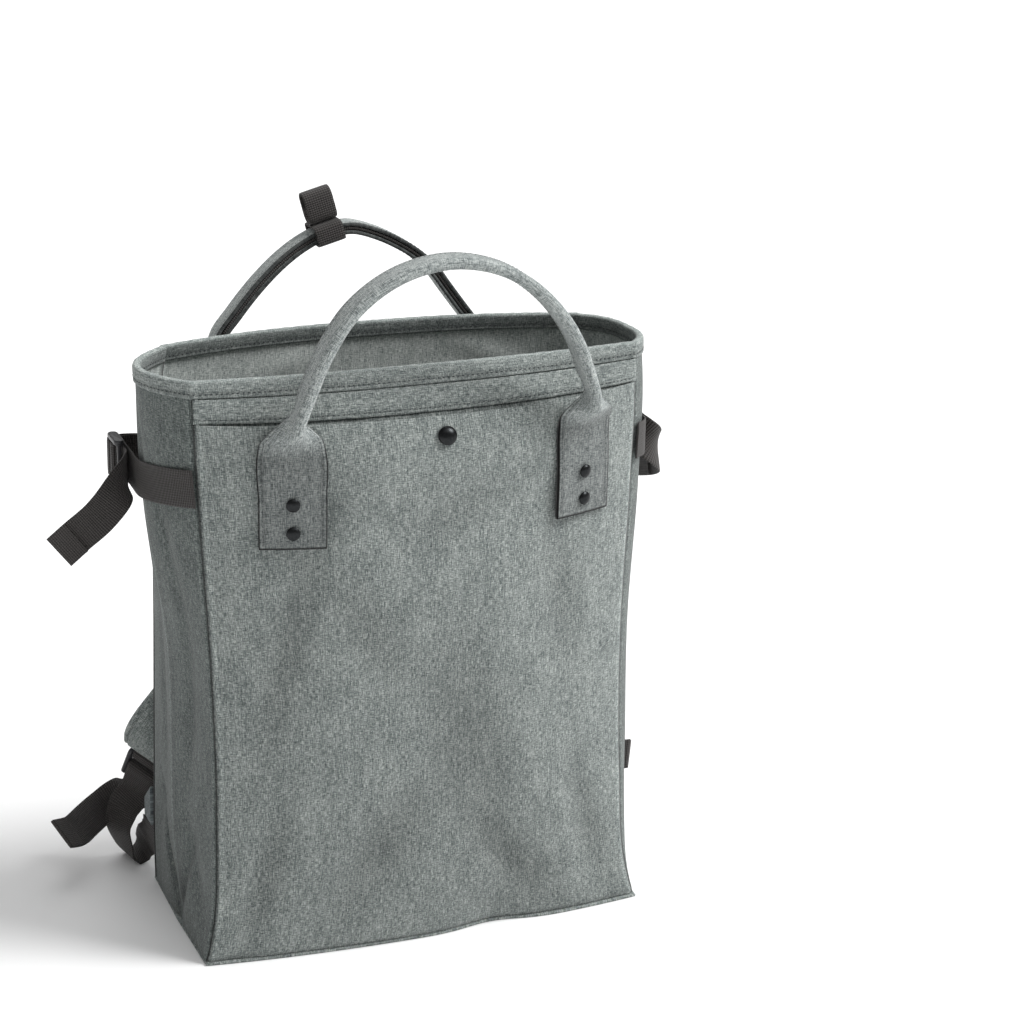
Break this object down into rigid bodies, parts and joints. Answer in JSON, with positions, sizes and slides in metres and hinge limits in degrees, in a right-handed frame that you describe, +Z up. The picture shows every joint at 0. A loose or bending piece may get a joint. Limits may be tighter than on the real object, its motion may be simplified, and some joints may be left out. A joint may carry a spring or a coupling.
{
  "type": "convertible backpack",
  "caption": "Grey woven tote bag with two folded handles, side straps with ladder-lock buckles and padded shoulder straps, open at the top",
  "frame": {"origin": "centre of the base's underside, on the floor", "axes": "+Z up, -Y towards the front pocket, +X towards the viewer's right when the front is seen"},
  "size_m": [0.4653, 0.2327, 0.4939],
  "materials": {
    "heather_polyester": "heather grey woven polyester",
    "heather_polyester_shade": "darker heather grey woven polyester",
    "black_webbing": "black polypropylene webbing",
    "buckle_plastic": "satin moulded acetal",
    "gunmetal": "dark gunmetal plating"
  },
  "bodies": {
    "root": {"front_panel": "heather_polyester", "back_panel": "heather_polyester", "front_pocket": "heather_polyester", "front_band": "heather_polyester", "back_band": "heather_polyester", "rim_binding": "heather_polyester", "handle_front": "heather_polyester", "handle_back": "heather_polyester", "shoulder_strap_left": "heather_polyester", "shoulder_strap_right": "heather_polyester", "gusset_left": "heather_polyester_shade", "gusset_right": "heather_polyester_shade", "base_panel": "heather_polyester_shade", "webbing_tab_left": "heather_polyester_shade", "webbing_tab_right": "heather_polyester_shade", "handle_core_front": "black_webbing", "handle_core_back": "black_webbing", "keeper_band": "black_webbing", "keeper_loop": "black_webbing", "side_strap_left": "black_webbing", "side_strap_right": "black_webbing", "side_anchor_left": "black_webbing", "side_anchor_right": "black_webbing", "strap_tip_left": "black_webbing", "strap_tip_right": "black_webbing", "lower_webbing_left": "black_webbing", "lower_webbing_right": "black_webbing", "side_buckle_left": "buckle_plastic", "side_buckle_right": "buckle_plastic", "strap_buckle_left": "buckle_plastic", "strap_buckle_right": "buckle_plastic", "rivet_left_upper": "gunmetal", "rivet_left_lower": "gunmetal", "rivet_right_upper": "gunmetal", "rivet_right_lower": "gunmetal", "snap_button": "gunmetal"}
  },
  "joints": []
}
